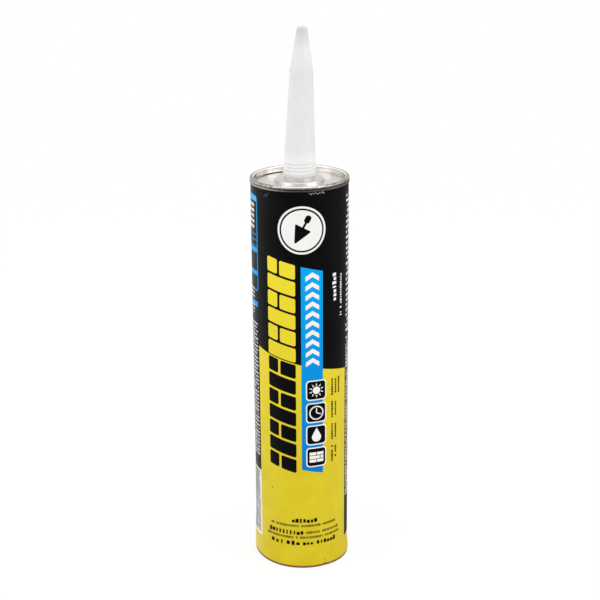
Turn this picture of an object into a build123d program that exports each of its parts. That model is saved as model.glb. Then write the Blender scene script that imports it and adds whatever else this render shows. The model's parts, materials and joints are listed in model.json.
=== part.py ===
"""A construction adhesive cartridge of the wound-board kind, standing on its open foot.

A tube of wound paperboard has a foil liner inside and a printed label glued round it. Its top is
closed by a stamped tinplate end, which is rolled over the tube's edge in a seam. The end holds a
tapered plastic nozzle with a closed tip: the nozzle's flange lies under the end's raised boss, its
shoulder sits on the boss's neck, and a foil disc seals it from the adhesive. The adhesive fills the
tube down to a cup-shaped plunger, and a dispensing gun pushes the plunger up from the open foot.

Everything is round about Z. Z 0 is the foot that the cartridge stands on, +Z points to the nozzle,
and the middle of the label's front panel faces -Y, so that the label's lap is at +Y.
All sizes are in millimetres.
"""

import os
from math import cos, pi, radians, sin

from build123d import *

# The tube and its plies
body_diameter = 50.8  # over the printed label
body_height = 215.9  # from the foot to the top of the rolled seam
board_wall = 1.3
liner_thickness = 0.1
label_thickness = 0.15
glue_line = 0.02  # left between two glued plies
foot_bevel = 0.25  # crushed edges of the cut board
label_foot_margin = 1.2  # bare board under the label
label_top_gap = 0.06  # between the label and the rolled seam
label_lap_width = 8.0  # where the label overlaps itself
label_ramp_width = 3.0  # where the top layer climbs onto the lower one

# The tinplate end
sheet = 0.22
seam_height = 3.0
seam_corner = 0.6  # bend at the seam's two top corners
seam_fit = 0.02  # left between the seam and what it grips
fold_gap = 0.06  # inside the seam's folded hook
fold_share = 0.48  # each bend of the fold, as a share of its width
hook_length = 1.8
compound_thickness = 0.55  # sealing compound on the board's top edge
countersink_depth = 4.4  # from the seam's top down to the groove
groove_inset = 0.75  # middle of the groove round the panel, inside the chuck wall
groove_half_width = 0.3
groove_bend = 0.28
panel_rise = 1.15  # panel above the groove
panel_ramp = 0.4  # how far that rise leans inwards
boss_radius = 12.55
boss_height = 2.2  # boss rim above the panel
boss_draft = 0.3  # how much its wall leans to each side of that radius
boss_bend = 0.5
boss_crown = 0.4  # rise from the boss rim to the neck
neck_height = 1.2
neck_bend = 0.45

# The nozzle
nozzle_rise = 75.6  # tip above the top of the seam
nozzle_base_diameter = 16.84
nozzle_break_diameter = 11.74  # where the steep taper starts
nozzle_break_rise = 54.4  # that place above the top of the seam
nozzle_tip_diameter = 5.0
nozzle_tip_rounding = 1.2
nozzle_wall = 1.1
nozzle_tip_wall = 1.6
neck_overhang = 0.14  # shoulder beyond the neck's rim
flange_thickness = 1.2
flange_clearance = 0.6  # round the flange, inside the boss
ring_count = 4
ring_pitch = 1.9
ring_width = 1.0
ring_height = 0.12
ring_start = 3.3  # first ring above the nozzle's shoulder
seal_thickness = 0.1

# The adhesive and the plunger
film = 0.1  # left round the adhesive
plunger_setback = 18.0  # its foot above the tube's foot when the cartridge is full
plunger_length = 22.0
running_clearance = 0.06  # between the plunger's lips and the liner
lip_height = 2.6
lip_bevel = 0.5
skirt_relief = 0.4  # skirt inside its lips
skirt_wall = 1.3
face_thickness = 1.4
face_pad_radius = 10.0
face_pad_height = 1.0
face_pad_slope = 1.3
socket_depth = 14.0  # clear bore for the gun's pusher plate
socket_shoulder = 0.8  # ledge that the plate stops on
socket_chamfer = 0.5
rib_count = 8
rib_thickness = 1.1
rib_depth = 2.6
hub_radius = 7.0
hub_wall = 1.2
travel_end_gap = 0.4  # between the plunger and the end when the tube is empty

# Radii of the plies, from the outside in
label_radius = body_diameter / 2
board_radius = label_radius - label_thickness - glue_line
board_bore = board_radius - board_wall
liner_radius = board_bore - glue_line
bore_radius = liner_radius - liner_thickness

# Middle lines of the sheet, as radii and heights
chuck_line = bore_radius - seam_fit - sheet / 2
hook_line = board_radius + seam_fit + sheet / 2
skin_line = hook_line + sheet + fold_gap
seam_foot = body_height - seam_height
top_line = body_height - sheet / 2
groove_line = body_height - countersink_depth - sheet / 2
groove_radius = chuck_line - groove_inset
panel_line = groove_line + panel_rise
boss_line = panel_line + boss_height
neck_root = boss_line + boss_crown
neck_top = neck_root + neck_height
board_top = body_height - sheet - compound_thickness - 2 * seam_fit

# Nozzle sizes that follow from the end
nozzle_base_radius = nozzle_base_diameter / 2
nozzle_break_radius = nozzle_break_diameter / 2
stem_radius = nozzle_base_radius - neck_overhang - sheet - seam_fit
neck_line = stem_radius + seam_fit + sheet / 2
shoulder = neck_top + seam_fit
nozzle_break = body_height + nozzle_break_rise
nozzle_top = body_height + nozzle_rise
flange_radius = boss_radius - boss_draft - sheet / 2 - flange_clearance
flange_top = boss_line - sheet / 2 - seam_fit
flange_foot = flange_top - flange_thickness
seal_top = flange_foot - glue_line
seal_foot = seal_top - seal_thickness
adhesive_top = seal_foot - film

# Where the plunger stands, and how far it can go
groove_underside = groove_line - sheet / 2
fill_radius = bore_radius - film
plunger_foot = plunger_setback
plunger_face = plunger_foot + plunger_length
plunger_travel = groove_underside - travel_end_gap - plunger_face
lip_radius = bore_radius - running_clearance
skirt_radius = lip_radius - skirt_relief
socket_radius = skirt_radius - skirt_wall
face_underside = plunger_face - face_thickness


def turned(outline):
    """A closed outline, drawn as radius and height, turned about the cartridge's axis."""
    return revolve(Plane.XZ * make_face(outline), Axis.Z)


def sleeve(inner, outer, low, high):
    """A plain sleeve between two radii and two heights."""
    corners = [(inner, low), (outer, low), (outer, high), (inner, high)]
    return turned(Polyline(*corners, close=True))


def polar(radius, angle):
    """A point of the ground plane, with its angle in degrees from the label's lap at +Y."""
    return (-radius * sin(radians(angle)), radius * cos(radians(angle)))


def tube_body():
    """The wound board: a plain tube, with the edges of its cut foot crushed a little."""
    corners = [
        (board_bore + foot_bevel, 0),
        (board_radius - foot_bevel, 0),
        (board_radius, foot_bevel),
        (board_radius, board_top),
        (board_bore, board_top),
        (board_bore, foot_bevel),
    ]
    return turned(Polyline(*corners, close=True))


def foil_liner():
    """The innermost ply, as long as the board."""
    return sleeve(bore_radius, liner_radius, foot_bevel, board_top)


def printed_label():
    """The label, which goes once round the tube and laps over its own edge at the back."""
    label_low = label_foot_margin
    label_high = seam_foot - label_top_gap
    ring = Circle(label_radius) - Circle(label_radius - label_thickness)
    millimetre = 360 / (pi * body_diameter)
    free_edge = -label_lap_width / 2 * millimetre
    ramp_top = label_lap_width / 2 * millimetre
    ramp_foot = ramp_top + label_ramp_width * millimetre
    lap_radius = label_radius + label_thickness
    sunk = label_radius - label_thickness / 2  # the lap starts inside the lower layer
    lap = make_face(
        [
            Line(polar(sunk, free_edge), polar(lap_radius, free_edge)),
            ThreePointArc(
                polar(lap_radius, free_edge),
                polar(lap_radius, (free_edge + ramp_top) / 2),
                polar(lap_radius, ramp_top),
            ),
            Line(polar(lap_radius, ramp_top), polar(label_radius, ramp_foot)),
            Line(polar(label_radius, ramp_foot), polar(sunk, ramp_foot)),
            ThreePointArc(
                polar(sunk, ramp_foot),
                polar(sunk, (free_edge + ramp_foot) / 2),
                polar(sunk, free_edge),
            ),
        ]
    )
    return Pos(0, 0, label_low) * extrude(ring + lap, label_high - label_low)


def metal_end():
    """The stamped end: one sheet, followed from the hook's tip to the neck's rim."""
    fold_bend = fold_share * (skin_line - hook_line)
    corners = [
        (hook_line, seam_foot + hook_length),
        (hook_line, seam_foot + sheet / 2),
        (skin_line, seam_foot + sheet / 2),
        (skin_line, top_line),
        (chuck_line, top_line),
        (chuck_line, seam_foot),
        (groove_radius + groove_half_width, groove_line),
        (groove_radius - groove_half_width, groove_line),
        (groove_radius - groove_half_width - panel_ramp, panel_line),
        (boss_radius + boss_draft, panel_line),
        (boss_radius - boss_draft, boss_line),
        (neck_line, neck_root),
        (neck_line, neck_top),
    ]
    bends = [
        fold_bend,
        fold_bend,
        seam_corner,
        seam_corner,
        seam_corner,
        groove_bend,
        groove_bend,
        groove_bend,
        boss_bend,
        boss_bend,
        neck_bend,
    ]
    section = trace(FilletPolyline(*corners, radius=bends), sheet)
    return revolve(Plane.XZ * section, Axis.Z)


def seam_compound():
    """The ring of sealing compound that the seam presses onto the board's top edge."""
    low = board_top + seam_fit
    high = low + compound_thickness
    bevel = seam_corner - sheet / 2 - seam_fit  # clear of the sheet's own bends
    corners = [
        (bore_radius, low),
        (board_radius, low),
        (board_radius, high - bevel),
        (board_radius - bevel, high),
        (bore_radius + bevel, high),
        (bore_radius, high - bevel),
    ]
    return turned(Polyline(*corners, close=True))


def cone_radius(height):
    """Outer radius of the nozzle's long taper."""
    share = (height - shoulder) / (nozzle_break - shoulder)
    return nozzle_base_radius + share * (nozzle_break_radius - nozzle_base_radius)


def nozzle():
    """The moulded nozzle: flange, stem, shoulder, grip rings, two tapers and a closed tip."""
    outside = [
        (flange_radius, flange_foot),
        (flange_radius, flange_top),
        (stem_radius, flange_top),
        (stem_radius, shoulder),
        (nozzle_base_radius, shoulder),
    ]
    for ring in range(ring_count):
        low = shoulder + ring_start + ring * ring_pitch
        high = low + ring_width
        ease = ring_height  # the ring's flanks lean at 45 degrees
        outside += [
            (cone_radius(low), low),
            (cone_radius(low + ease) + ring_height, low + ease),
            (cone_radius(high - ease) + ring_height, high - ease),
            (cone_radius(high), high),
        ]
    outside.append((nozzle_break_radius, nozzle_break))
    tip_radius = nozzle_tip_diameter / 2
    inside = [
        (0, nozzle_top - nozzle_tip_wall),
        (tip_radius - nozzle_wall, nozzle_top - nozzle_tip_wall),
        (nozzle_break_radius - nozzle_wall, nozzle_break),
        (stem_radius - nozzle_wall, shoulder),
        (stem_radius - nozzle_wall, flange_foot),
    ]
    tip = [(tip_radius, nozzle_top), (0, nozzle_top)]
    corners = outside + tip + inside
    rounding = [0] * len(corners)
    rounding[len(outside)] = nozzle_tip_rounding
    return turned(FilletPolyline(*corners, radius=rounding, close=True))


def inner_seal():
    """The foil disc across the nozzle's flange."""
    return Pos(0, 0, seal_foot) * extrude(Circle(flange_radius), seal_thickness)


def adhesive_fill():
    """The adhesive: it follows the plunger's face below, and the end's groove and boss above."""
    low = plunger_face + film
    panel_edge = groove_radius - groove_half_width - groove_bend
    corners = [
        (0, low + face_pad_height),
        (face_pad_radius + film, low + face_pad_height),
        (face_pad_radius + face_pad_slope + film, low),
        (fill_radius, low),
        (fill_radius, groove_underside - film),
        (panel_edge, groove_underside - film),
        (panel_edge - panel_ramp, panel_line - sheet / 2 - film),
        (flange_radius, panel_line - sheet / 2 - film),
        (flange_radius, adhesive_top),
        (0, adhesive_top),
    ]
    return turned(Polyline(*corners, close=True))


def plunger():
    """The plunger: a cup with two wiping lips, a raised pad on its face and ribs under it."""
    shoulder_radius = socket_radius - socket_shoulder
    lip_ease = skirt_relief  # a lip's inner flank leans at 45 degrees
    corners = [
        (0, plunger_face + face_pad_height),
        (face_pad_radius, plunger_face + face_pad_height),
        (face_pad_radius + face_pad_slope, plunger_face),
        (lip_radius - lip_bevel, plunger_face),
        (lip_radius, plunger_face - lip_bevel),
        (lip_radius, plunger_face - lip_height),
        (skirt_radius, plunger_face - lip_height - lip_ease),
        (skirt_radius, plunger_foot + lip_height + lip_ease),
        (lip_radius, plunger_foot + lip_height),
        (lip_radius, plunger_foot + lip_bevel),
        (lip_radius - lip_bevel, plunger_foot),
        (socket_radius + socket_chamfer, plunger_foot),
        (socket_radius, plunger_foot + socket_chamfer),
        (socket_radius, plunger_foot + socket_depth),
        (shoulder_radius, plunger_foot + socket_depth),
        (shoulder_radius, face_underside),
        (0, face_underside),
    ]
    cup = turned(Polyline(*corners, close=True))
    rib_foot = face_underside - rib_depth
    rooted = face_underside + face_thickness / 2  # ribs and hub start inside the face
    hub = sleeve(hub_radius - hub_wall, hub_radius, rib_foot, rooted)
    rib_start = hub_radius - hub_wall / 2
    rib_end = (shoulder_radius + skirt_radius) / 2
    rib = Pos((rib_start + rib_end) / 2, 0, (rib_foot + rooted) / 2) * Box(
        rib_end - rib_start, rib_thickness, rooted - rib_foot
    )
    ribs = [Rot(0, 0, turn * 360 / rib_count) * rib for turn in range(rib_count)]
    return cup + hub + ribs


PIECES = {
    "tube_body": tube_body,
    "foil_liner": foil_liner,
    "printed_label": printed_label,
    "metal_end": metal_end,
    "seam_compound": seam_compound,
    "nozzle": nozzle,
    "inner_seal": inner_seal,
    "adhesive_fill": adhesive_fill,
    "plunger": plunger,
}

os.makedirs("parts", exist_ok=True)
for name, build in PIECES.items():
    export_step(build(), f"parts/{name}.step")
fill_volume = pi * bore_radius**2 * (groove_underside - plunger_face) / 1000
print("plunger face", round(plunger_face, 2), "fill in ml", round(fill_volume, 1))
print("plunger travel", round(plunger_travel, 2), "socket radius", round(socket_radius, 3))
print("seam radius", round(skin_line + sheet / 2, 3), "nozzle top", round(nozzle_top, 2))
print("adhesive top", round(adhesive_top, 3), "bore radius", round(bore_radius, 3))
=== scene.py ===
# %% [markdown]
# A construction adhesive cartridge, standing on its open foot. The CAD model holds the true sizes and
# the sliding plunger. This lesson gives it its looks: a printed label wrapped round a wound board
# tube, a rolled tinplate end, a pale plastic nozzle, and a plain studio to see them in.

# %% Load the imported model
import json
from math import atan2, cos, exp, pi, radians, sin, tan

import bmesh
import bpy
from mathutils import Euler, Matrix, Vector, noise


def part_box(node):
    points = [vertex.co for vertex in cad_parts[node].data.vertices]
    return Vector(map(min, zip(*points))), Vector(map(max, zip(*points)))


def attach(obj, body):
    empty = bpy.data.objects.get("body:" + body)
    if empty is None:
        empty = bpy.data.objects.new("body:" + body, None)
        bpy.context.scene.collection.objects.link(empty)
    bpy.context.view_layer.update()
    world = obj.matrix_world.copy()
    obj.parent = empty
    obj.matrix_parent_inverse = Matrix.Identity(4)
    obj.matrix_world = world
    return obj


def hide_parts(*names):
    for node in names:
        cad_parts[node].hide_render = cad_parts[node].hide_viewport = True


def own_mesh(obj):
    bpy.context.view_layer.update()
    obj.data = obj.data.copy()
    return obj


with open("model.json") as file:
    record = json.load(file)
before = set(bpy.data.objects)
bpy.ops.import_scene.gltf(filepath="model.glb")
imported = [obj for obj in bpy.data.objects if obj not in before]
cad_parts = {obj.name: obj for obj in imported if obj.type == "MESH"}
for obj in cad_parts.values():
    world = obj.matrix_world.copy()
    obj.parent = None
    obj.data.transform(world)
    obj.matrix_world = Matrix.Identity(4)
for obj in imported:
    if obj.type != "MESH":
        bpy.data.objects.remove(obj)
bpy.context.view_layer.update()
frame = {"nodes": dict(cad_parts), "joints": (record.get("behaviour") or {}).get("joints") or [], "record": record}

MM = 0.001

# %% [markdown]
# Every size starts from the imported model, in millimetres, so that each piece of the scene sits where
# the real one does. The label's free edge laps over itself at the back, at +Y, so the front-to-back
# size of its box is a little more than its side-to-side size, and the difference is the lap's rise.

# %% Sizes read from the frame
def corners_mm(node):
    """The lowest and highest corner of a CAD node, in millimetres."""
    low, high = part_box(node)
    return low / MM, high / MM


mounts = {mount["name"]: mount for mount in frame["record"]["mounts"]}
label_low, label_high = corners_mm("printed_label")
label_radius = label_high.x
lap_rise = label_high.y - label_high.x
label_foot, label_top = label_low.z, label_high.z
body_height = mounts["seam_face"]["pos_m"][2] / MM
seam_radius = corners_mm("metal_end")[1].x
board_radius = corners_mm("tube_body")[1].x
circumference = 2 * pi * label_radius
print("label", round(label_radius, 2), round(label_foot, 2), round(label_top, 2), "lap", round(lap_rise, 3))
print("body height", round(body_height, 2), "seam radius", round(seam_radius, 2))

# %% [markdown]
# The camera stands where the photographer's did: 0.65 m in front of the cartridge and 0.37 m above
# its foot, with a long lens. The picture is a part cut out of a wider frame whose middle lay to the
# left, which is why the ellipses of the foot and the rim are turned a little against the tube. So
# the camera looks a little past the cartridge on its left, and a small shift of the lens brings it
# back to the middle. A larger shift would follow those ellipses a fraction of a pixel closer, but
# would push the cartridge out of the frame from any other side. All of this was found by fitting the
# tube's outline, foot and seam, whose real sizes are known.

# %% Camera
camera_place = (0, -0.6529, 0.3744)
camera_turn = 2.818
camera_pitch = 70.899
camera_roll = -1.322
camera_lens = 77.754
camera_shift = (0.1, 0.0)

camera_data = bpy.data.cameras.new("studio_camera")
camera_data.lens = camera_lens
camera_data.sensor_width = 36
camera_data.shift_x, camera_data.shift_y = camera_shift
camera = bpy.data.objects.new("studio_camera", camera_data)
aim = Euler((radians(camera_pitch), 0, radians(camera_turn))).to_matrix()
turn = aim @ Matrix.Rotation(radians(camera_roll), 3, "Z")
camera.matrix_world = Matrix.Translation(camera_place) @ turn.to_4x4()
bpy.context.scene.collection.objects.link(camera)
bpy.context.scene.camera = camera
bpy.context.scene.view_settings.view_transform = "Standard"
print("camera at", camera_place, "lens", camera_lens)

# %% [markdown]
# Colours are written as the sRGB hex values that a paint program shows, and one function turns them
# into the linear values that the shader needs. One more function adds a node: its settings are the
# node's own choices, and each of its inputs is a value, a hex colour or a link from another node.
# A material opens with the place on the object in millimetres and closes with its shader. What lies
# between them is mostly layers: a colour over another one, within limits such as a height, a
# distance from the axis, or the lumps of a noise pattern. The scale of each pattern is 1 over the
# real size of its lumps in millimetres.

# %% Helpers for materials
def linear(colour):
    """An sRGB hex colour as the linear values that a colour socket takes."""
    shares = [int(colour[at : at + 2], 16) / 255 for at in (1, 3, 5)]
    return (*[c / 12.92 if c <= 0.04045 else ((c + 0.055) / 1.055) ** 2.4 for c in shares], 1)


def add_node(tree, kind, settings=None, inputs=None):
    """Adds a node with its settings, and fills its inputs with values, hex colours or links."""
    node = tree.nodes.new(kind)
    for name, value in (settings or {}).items():
        setattr(node, name, value)
    for key, value in (inputs or {}).items():
        if isinstance(value, bpy.types.NodeSocket):
            tree.links.new(value, node.inputs[key])
        else:
            node.inputs[key].default_value = linear(value) if isinstance(value, str) else value
    return node


def open_material(name):
    """A new material, its empty node tree, and the object's own coordinates in millimetres."""
    material = bpy.data.materials.new(name)
    material.use_nodes = True
    tree = material.node_tree
    tree.nodes.clear()
    place = add_node(tree, "ShaderNodeTexCoord").outputs["Object"]
    scale = {0: place, "Scale": (1 / MM, 1 / MM, 1 / MM)}
    return material, tree, add_node(tree, "ShaderNodeMapping", inputs=scale).outputs[0]


def close_material(tree, values, reliefs):
    """Ends a material with its Principled shader, whose surface the reliefs raise one on another.

    A relief is a pattern, and how many millimetres it rises where the pattern is 1."""
    raised = {}
    for height, depth in reliefs:
        bump = {"Height": height, "Distance": depth * MM, "Strength": 1.0, **raised}
        raised = {"Normal": add_node(tree, "ShaderNodeBump", inputs=bump).outputs[0]}
    shader = add_node(tree, "ShaderNodeBsdfPrincipled", inputs={**values, **raised})
    add_node(tree, "ShaderNodeOutputMaterial", inputs={"Surface": shader.outputs[0]})


def lay_over(tree, under, over, *limits):
    """The colour under, with the colour over on it where all the limits hold.

    A limit is a value, and the two points between which its share runs from 0 to 1, or from a start
    to an end of its own."""
    share = None
    for value, low, high, *ends in limits:
        start, end = ends or (0.0, 1.0)
        limit = {0: value, 1: low, 2: high, 3: start, 4: end}
        limit = add_node(tree, "ShaderNodeMapRange", inputs=limit).outputs[0]
        if share is not None:
            both = {0: share, 1: limit}
            limit = add_node(tree, "ShaderNodeMath", {"operation": "MULTIPLY"}, both).outputs[0]
        share = limit
    colours = {0: share, 6: under, 7: over}
    return add_node(tree, "ShaderNodeMix", {"data_type": "RGBA"}, colours).outputs[2]


print("white as linear", linear("#ffffff"))

# %% [markdown]
# The studio is a pale sweep with soft light. A white sweep is far away from the object and even, so
# the world and the floor show the camera, and metal and glass, a white of strength 1, while the
# light that they give to the object stays plain. The floor keeps a share of real diffuse shading, so
# the object's own soft shadow stays on it, and that share fades out some way from the object. In
# front of the object the floor lies in the dark of the room for anything that mirrors it, as it does
# beyond a real sweep's edge, and it darkens to the right too, where the sweep was narrower. That
# keeps the black print deep and the seam's face dark.

# %% World and floor
sky_light = 0.91
room_light = 0.85
dark_floor = 0.03
dim_floor = 0.3
floor_share = 0.15
floor_reach = 900
floor_half = 6.0
pure_white = "#ffffff"

world = bpy.data.worlds.new("studio_world")
world.use_nodes = True
world.node_tree.nodes.clear()
bpy.context.scene.world = world


def seen_directly(tree):
    """1 for rays from the camera, and for those that mirror or pass through something."""
    path = add_node(tree, "ShaderNodeLightPath")
    either = path.outputs["Is Camera Ray"]
    for name in ("Is Glossy Ray", "Is Transmission Ray"):
        values = {0: either, 1: path.outputs[name]}
        either = add_node(tree, "ShaderNodeMath", {"operation": "MAXIMUM"}, values).outputs[0]
    return either


def dim_front(tree):
    """White behind and above the object, and the slightly dimmer room behind the camera."""
    way = add_node(tree, "ShaderNodeTexCoord").outputs["Generated"]
    parts = add_node(tree, "ShaderNodeSeparateXYZ", inputs={0: way})
    values = {0: parts.outputs["Y"], 1: -0.95, 2: -0.35, 3: room_light, 4: 1.0}
    return add_node(tree, "ShaderNodeMapRange", inputs=values).outputs[0]


def floor_mirrored(tree, place):
    """How bright a mirror sees the floor: dark towards the camera, dim on the right, else white."""
    way = add_node(tree, "ShaderNodeVectorMath", {"operation": "NORMALIZE"}, {0: place}).outputs[0]
    parts = add_node(tree, "ShaderNodeSeparateXYZ", inputs={0: way})
    path = add_node(tree, "ShaderNodeLightPath")
    front = {0: parts.outputs["Y"], 1: -0.9, 2: -0.1, 3: dark_floor, 4: 1.0}
    right = {0: parts.outputs["X"], 1: 0.1, 2: 0.5, 3: 1.0, 4: dim_floor}
    front = add_node(tree, "ShaderNodeMapRange", inputs=front).outputs[0]
    right = add_node(tree, "ShaderNodeMapRange", inputs=right).outputs[0]
    both = {0: front, 1: right}
    mirrored = add_node(tree, "ShaderNodeMath", {"operation": "MULTIPLY"}, both).outputs[0]
    either = {0: path.outputs["Is Camera Ray"], 1: mirrored}
    return add_node(tree, "ShaderNodeMath", {"operation": "MAXIMUM"}, either).outputs[0]


tree = world.node_tree
path = add_node(tree, "ShaderNodeLightPath")
either = {0: path.outputs["Is Camera Ray"], 1: dim_front(tree)}
seen = add_node(tree, "ShaderNodeMath", {"operation": "MAXIMUM"}, either).outputs[0]
light = add_node(tree, "ShaderNodeBackground", inputs={"Color": pure_white, "Strength": sky_light})
sweep = add_node(tree, "ShaderNodeBackground", inputs={"Color": pure_white, "Strength": seen})
both = {0: seen_directly(tree), 1: light.outputs[0], 2: sweep.outputs[0]}
mixed = add_node(tree, "ShaderNodeMixShader", inputs=both)
add_node(tree, "ShaderNodeOutputWorld", inputs={"Surface": mixed.outputs[0]})

floor_material = bpy.data.materials.new("paper_sweep")
floor_material.use_nodes = True
tree = floor_material.node_tree
tree.nodes.clear()
place = add_node(tree, "ShaderNodeTexCoord").outputs["Object"]
distance = add_node(tree, "ShaderNodeVectorMath", {"operation": "LENGTH"}, {0: place}).outputs["Value"]
near = {0: distance, 1: 0.25 * floor_reach * MM, 2: floor_reach * MM, 3: floor_share, 4: 0.0}
near = add_node(tree, "ShaderNodeMapRange", inputs=near).outputs[0]
shine = {"Color": pure_white, "Strength": floor_mirrored(tree, place)}
glow = add_node(tree, "ShaderNodeEmission", inputs=shine)
matt = add_node(tree, "ShaderNodeBsdfDiffuse", inputs={"Color": pure_white})
pale = add_node(tree, "ShaderNodeBsdfDiffuse", inputs={"Color": "#e6e6e6"})
shown = {0: near, 1: glow.outputs[0], 2: matt.outputs[0]}
shown = add_node(tree, "ShaderNodeMixShader", inputs=shown)
both = {0: seen_directly(tree), 1: pale.outputs[0], 2: shown.outputs[0]}
both = add_node(tree, "ShaderNodeMixShader", inputs=both)
add_node(tree, "ShaderNodeOutputMaterial", inputs={"Surface": both.outputs[0]})

floor_mesh = bpy.data.meshes.new("studio_floor")
floor_ends = ((-1, -1), (1, -1), (1, 1), (-1, 1))
floor_corners = [(floor_half * x, floor_half * y, 0) for x, y in floor_ends]
floor_mesh.from_pydata(floor_corners, [], [(0, 1, 2, 3)])
floor_mesh.materials.append(floor_material)
studio_floor = bpy.data.objects.new("studio_floor", floor_mesh)
bpy.context.scene.collection.objects.link(studio_floor)
print("floor", 2 * floor_half, "m across")

# %% [markdown]
# Three large softboxes light it. Two stand high in front of it on both sides, so that the round of
# the tube and the nozzle is lit evenly, and one overhead is what the rolled seam and the end's boss
# catch. Their watts follow from the distance, so that all the light together shows a colour
# about as it is written.

# %% Softboxes
def softbox(name, place, aim, width, height, level):
    """An area lamp that gives the given share of full light at the point that it aims at."""
    data = bpy.data.lights.new(name, "AREA")
    data.shape = "RECTANGLE"
    data.size = width
    data.size_y = height
    away = Vector(place) - Vector(aim)
    data.energy = level * (pi * away.length) ** 2
    lamp = bpy.data.objects.new(name, data)
    lamp_turn = away.to_track_quat("Z", "Y").to_matrix().to_4x4()
    lamp.matrix_world = Matrix.Translation(place) @ lamp_turn
    bpy.context.scene.collection.objects.link(lamp)
    return round(data.energy, 2)


middle = (0, 0, body_height / 2 * MM)
print("key", softbox("key_softbox", (1.0, -0.5, 0.85), middle, 1.2, 0.7, 0.21))
print("fill", softbox("fill_softbox", (-1.0, -0.5, 0.85), middle, 1.2, 0.7, 0.165))
print("top", softbox("top_softbox", (0.05, -0.1, 1.2), middle, 0.9, 0.6, 0.12))

# %% [markdown]
# The label is paper printed in flat inks under a thin varnish. What the eye gets from it is an even
# colour with a hardly visible mottle, a soft sheen that follows the slightly uneven tube below, and
# a fine tooth. All inks share these, so one function makes them and only the colour changes. The
# ink sinks into the paper and reflects far less than bare plastic does, which keeps the black deep.
# Real tooth is finer than 0.1 mm, which no render at this size can show, so it is drawn at 0.45 mm.

# %% Inks on coated label paper
ink_sheen = 0.07


def label_ink(name, colour, deeper, roughness=0.36, sheen=ink_sheen, upper=None):
    """One printed ink: colour with a faint mottle towards a deeper tone, under thin varnish.

    An upper colour is what the ink turns to towards the top of the label."""
    material, tree, place = open_material(name)
    mottle = {"Vector": place, "Scale": 1 / 14, "Detail": 4}
    mottle = add_node(tree, "ShaderNodeTexNoise", inputs=mottle).outputs["Fac"]
    tone = lay_over(tree, colour, deeper, (mottle, 0.35, 0.7))
    if upper is not None:
        height = add_node(tree, "ShaderNodeSeparateXYZ", inputs={0: place}).outputs[2]
        tone = lay_over(tree, tone, upper, (height, 60, 180))
    rub = {"Vector": place, "Scale": 1 / 6, "Detail": 5, "Roughness": 0.6}
    rub = add_node(tree, "ShaderNodeTexNoise", inputs=rub).outputs["Fac"]
    rub = {0: rub, 1: 0.3, 2: 0.75, 3: roughness - 0.05, 4: roughness + 0.07}
    rub = add_node(tree, "ShaderNodeMapRange", inputs=rub).outputs[0]
    uneven = {"Vector": place, "Scale": 1 / 9, "Detail": 1}
    uneven = add_node(tree, "ShaderNodeTexNoise", inputs=uneven).outputs["Fac"]
    tooth = {"Vector": place, "Scale": 1 / 0.45, "Detail": 2}
    tooth = add_node(tree, "ShaderNodeTexNoise", inputs=tooth).outputs["Fac"]
    values = {"Base Color": tone, "Roughness": rub, "IOR": 1.5, "Specular IOR Level": sheen}
    close_material(tree, values, [(uneven, 0.1), (tooth, 0.004)])
    return material


# The yellow turns paler towards the top of the label. That paler upper tone is painted light: it stands for light
# that falls off towards the foot.
yellow_ink = label_ink("varnished_yellow_ink", "#ddc81e", "#d4be14", sheen=0.25, upper="#f0dc2c")
black_ink = label_ink("varnished_black_ink", "#0d0d0e", "#09090a")
blue_ink = label_ink("varnished_blue_ink", "#007bd2", "#0074c8", upper="#00a6ee")
pale_blue_ink = label_ink("varnished_pale_blue_ink", "#66bdf0", "#4aaeea")
white_ink = label_ink("varnished_white_ink", "#f2f1ef", "#ecebe8")
olive_ink = label_ink("varnished_olive_ink", "#7a6f1f", "#6f6419")
# A grey for a painted highlight on the ridges of the label's wrinkles.
wrinkle_highlight_ink = label_ink("painted_wrinkle_highlight", "#6c6c6e", "#57575a")
bare_paper = label_ink("rubbed_bare_paper", "#d8d3cb", "#b3aca2", 0.7)
print("inks share a sheen of", ink_sheen)

# %% [markdown]
# The label's surface is one rule: a place on the flat print, u millimetres to the right of the front
# and z above the foot, goes to a point round the tube. Whatever the real label does is in this rule
# once, and every piece of print follows it: it climbs where it laps over itself at the back, its
# foot is knocked a little outwards at the front right and on the left, and a small dent creases the
# foot near the front.

# %% The label's surface
lap_half_width = 4.0
lap_ramp = 3.0
lap_drop = 0.06
# Each knock has its middle, its spread, the heights where it begins to fade and is gone, and its bulge.
knocks = [(28.0, 13.0, 3.0, 9.0, 0.9), (-40.0, 9.0, 6.0, 26.0, 0.8)]
dent_middle = 13.0
dent_width = 0.8
dent_height = 4.5
dent_depth = 0.3


def smooth_step(value, low, high):
    """Runs smoothly from 0 at low to 1 at high."""
    share = min(1, max(0, (value - low) / (high - low)))
    return share * share * (3 - 2 * share)


def lap_height(u):
    """How far the lap lifts the label: a sharp free edge, a flat top and a long ramp."""
    beyond = u % circumference - circumference / 2
    climb = smooth_step(beyond, -lap_half_width - lap_drop, -lap_half_width)
    fall = smooth_step(beyond, lap_half_width, lap_half_width + lap_ramp)
    return lap_rise * (climb - fall)


def foot_knock(u, z):
    """How far the foot is knocked out by its two bulges and in by its dent."""
    dent = exp(-(((u - dent_middle) / dent_width) ** 2)) * (1 - smooth_step(z, 0.5, dent_height))
    depth = -dent_depth * dent
    for middle, spread, full, gone, bulge in knocks:
        depth += bulge * exp(-(((u - middle) / spread) ** 2)) * (1 - smooth_step(z, full, gone))
    return depth


def round_tube(u, z, radius):
    """The point at that place of the print and that distance from the tube's axis."""
    angle = u / label_radius
    return Vector((radius * sin(angle), -radius * cos(angle), z))


def label_point(u, z, lift):
    """A place of the flat print, lifted by lift, on the real label."""
    return round_tube(u, z, label_radius + lift + lap_height(u) + foot_knock(u, z))


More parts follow.
